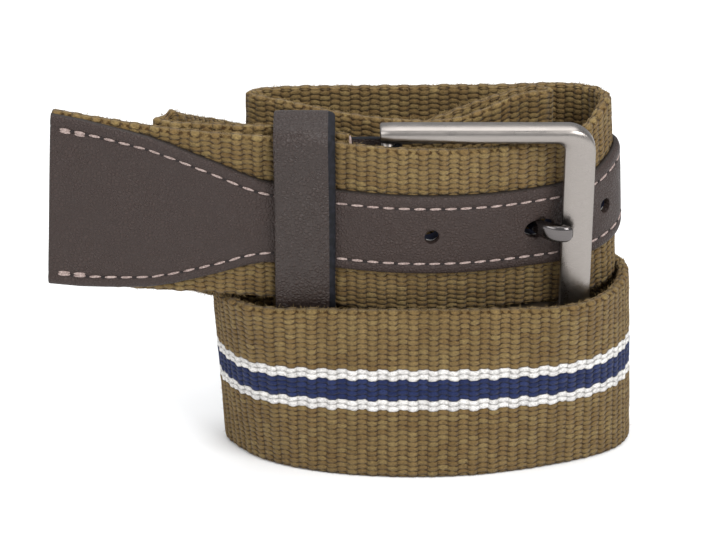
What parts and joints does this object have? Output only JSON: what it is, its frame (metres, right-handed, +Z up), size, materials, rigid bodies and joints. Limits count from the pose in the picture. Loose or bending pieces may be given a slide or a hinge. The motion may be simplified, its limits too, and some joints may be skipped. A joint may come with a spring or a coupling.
{
  "type": "canvas belt",
  "caption": "Woven canvas belt with a leather tip, keeper and metal frame buckle, fastened and coiled standing on its lower edge.",
  "frame": {"origin": "middle of the belt's outline on the surface that it stands on", "axes": "+Z up, +X along the front towards the buckle, -Y out of the front"},
  "size_m": [0.1295, 0.0489, 0.0825],
  "materials": {
    "webbing": "heavy olive brown ribbed weave with a navy stripe between two white yarn rows",
    "strap_leather": "grey brown leather with a fine pebble grain, dark painted edges and pale stitching",
    "buckle_metal": "satin brushed nickel, darker on the sides",
    "prong_metal": "polished dark nickel"
  },
  "bodies": {
    "root": {"webbing_strap": "webbing", "tip_leather": "strap_leather", "keeper": "strap_leather", "chape": "strap_leather", "buckle_frame": "buckle_metal", "prong": "prong_metal"}
  },
  "joints": []
}
